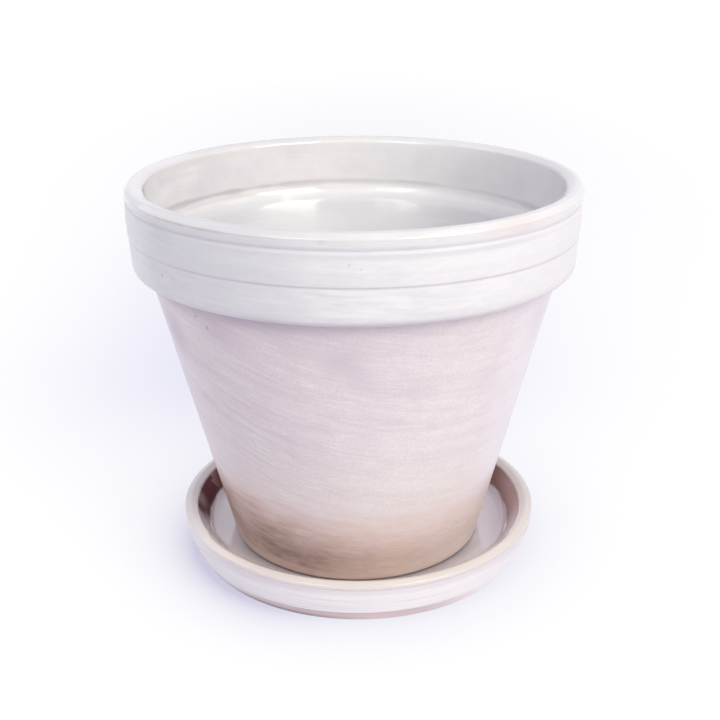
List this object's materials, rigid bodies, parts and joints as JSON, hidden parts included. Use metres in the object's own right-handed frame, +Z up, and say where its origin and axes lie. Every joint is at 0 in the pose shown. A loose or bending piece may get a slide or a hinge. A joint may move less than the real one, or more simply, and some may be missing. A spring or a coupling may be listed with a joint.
{
  "type": "glazed plant pot",
  "caption": "Tapered glazed ceramic plant pot with a thick turned collar, standing in a shallow drip saucer; the pot lifts out of the saucer.",
  "frame": {"origin": "on the pot's axis, at the level of the surface that the saucer stands on", "axes": "+Z up along the pot's axis; -Y towards the side that the picture shows; the saucer sits 1.5 mm off the axis towards +X"},
  "size_m": [0.18, 0.18, 0.1603],
  "materials": {
    "pot_glaze": "brushed semi-gloss glaze, white on the collar and inside, pink-mauve on the cone, fading to bare brown at the foot",
    "saucer_glaze": "glossy pale glaze, thin and peach at the lip, brown on the inner wall"
  },
  "bodies": {
    "saucer": {"saucer": "saucer_glaze"},
    "pot": {"pot": "pot_glaze"}
  },
  "joints": [
    {"name": "pot_lift", "type": "slide", "parent": "saucer", "child": "pot", "axis": [0, 0, 1], "range_m": [0, 0.06]}
  ]
}
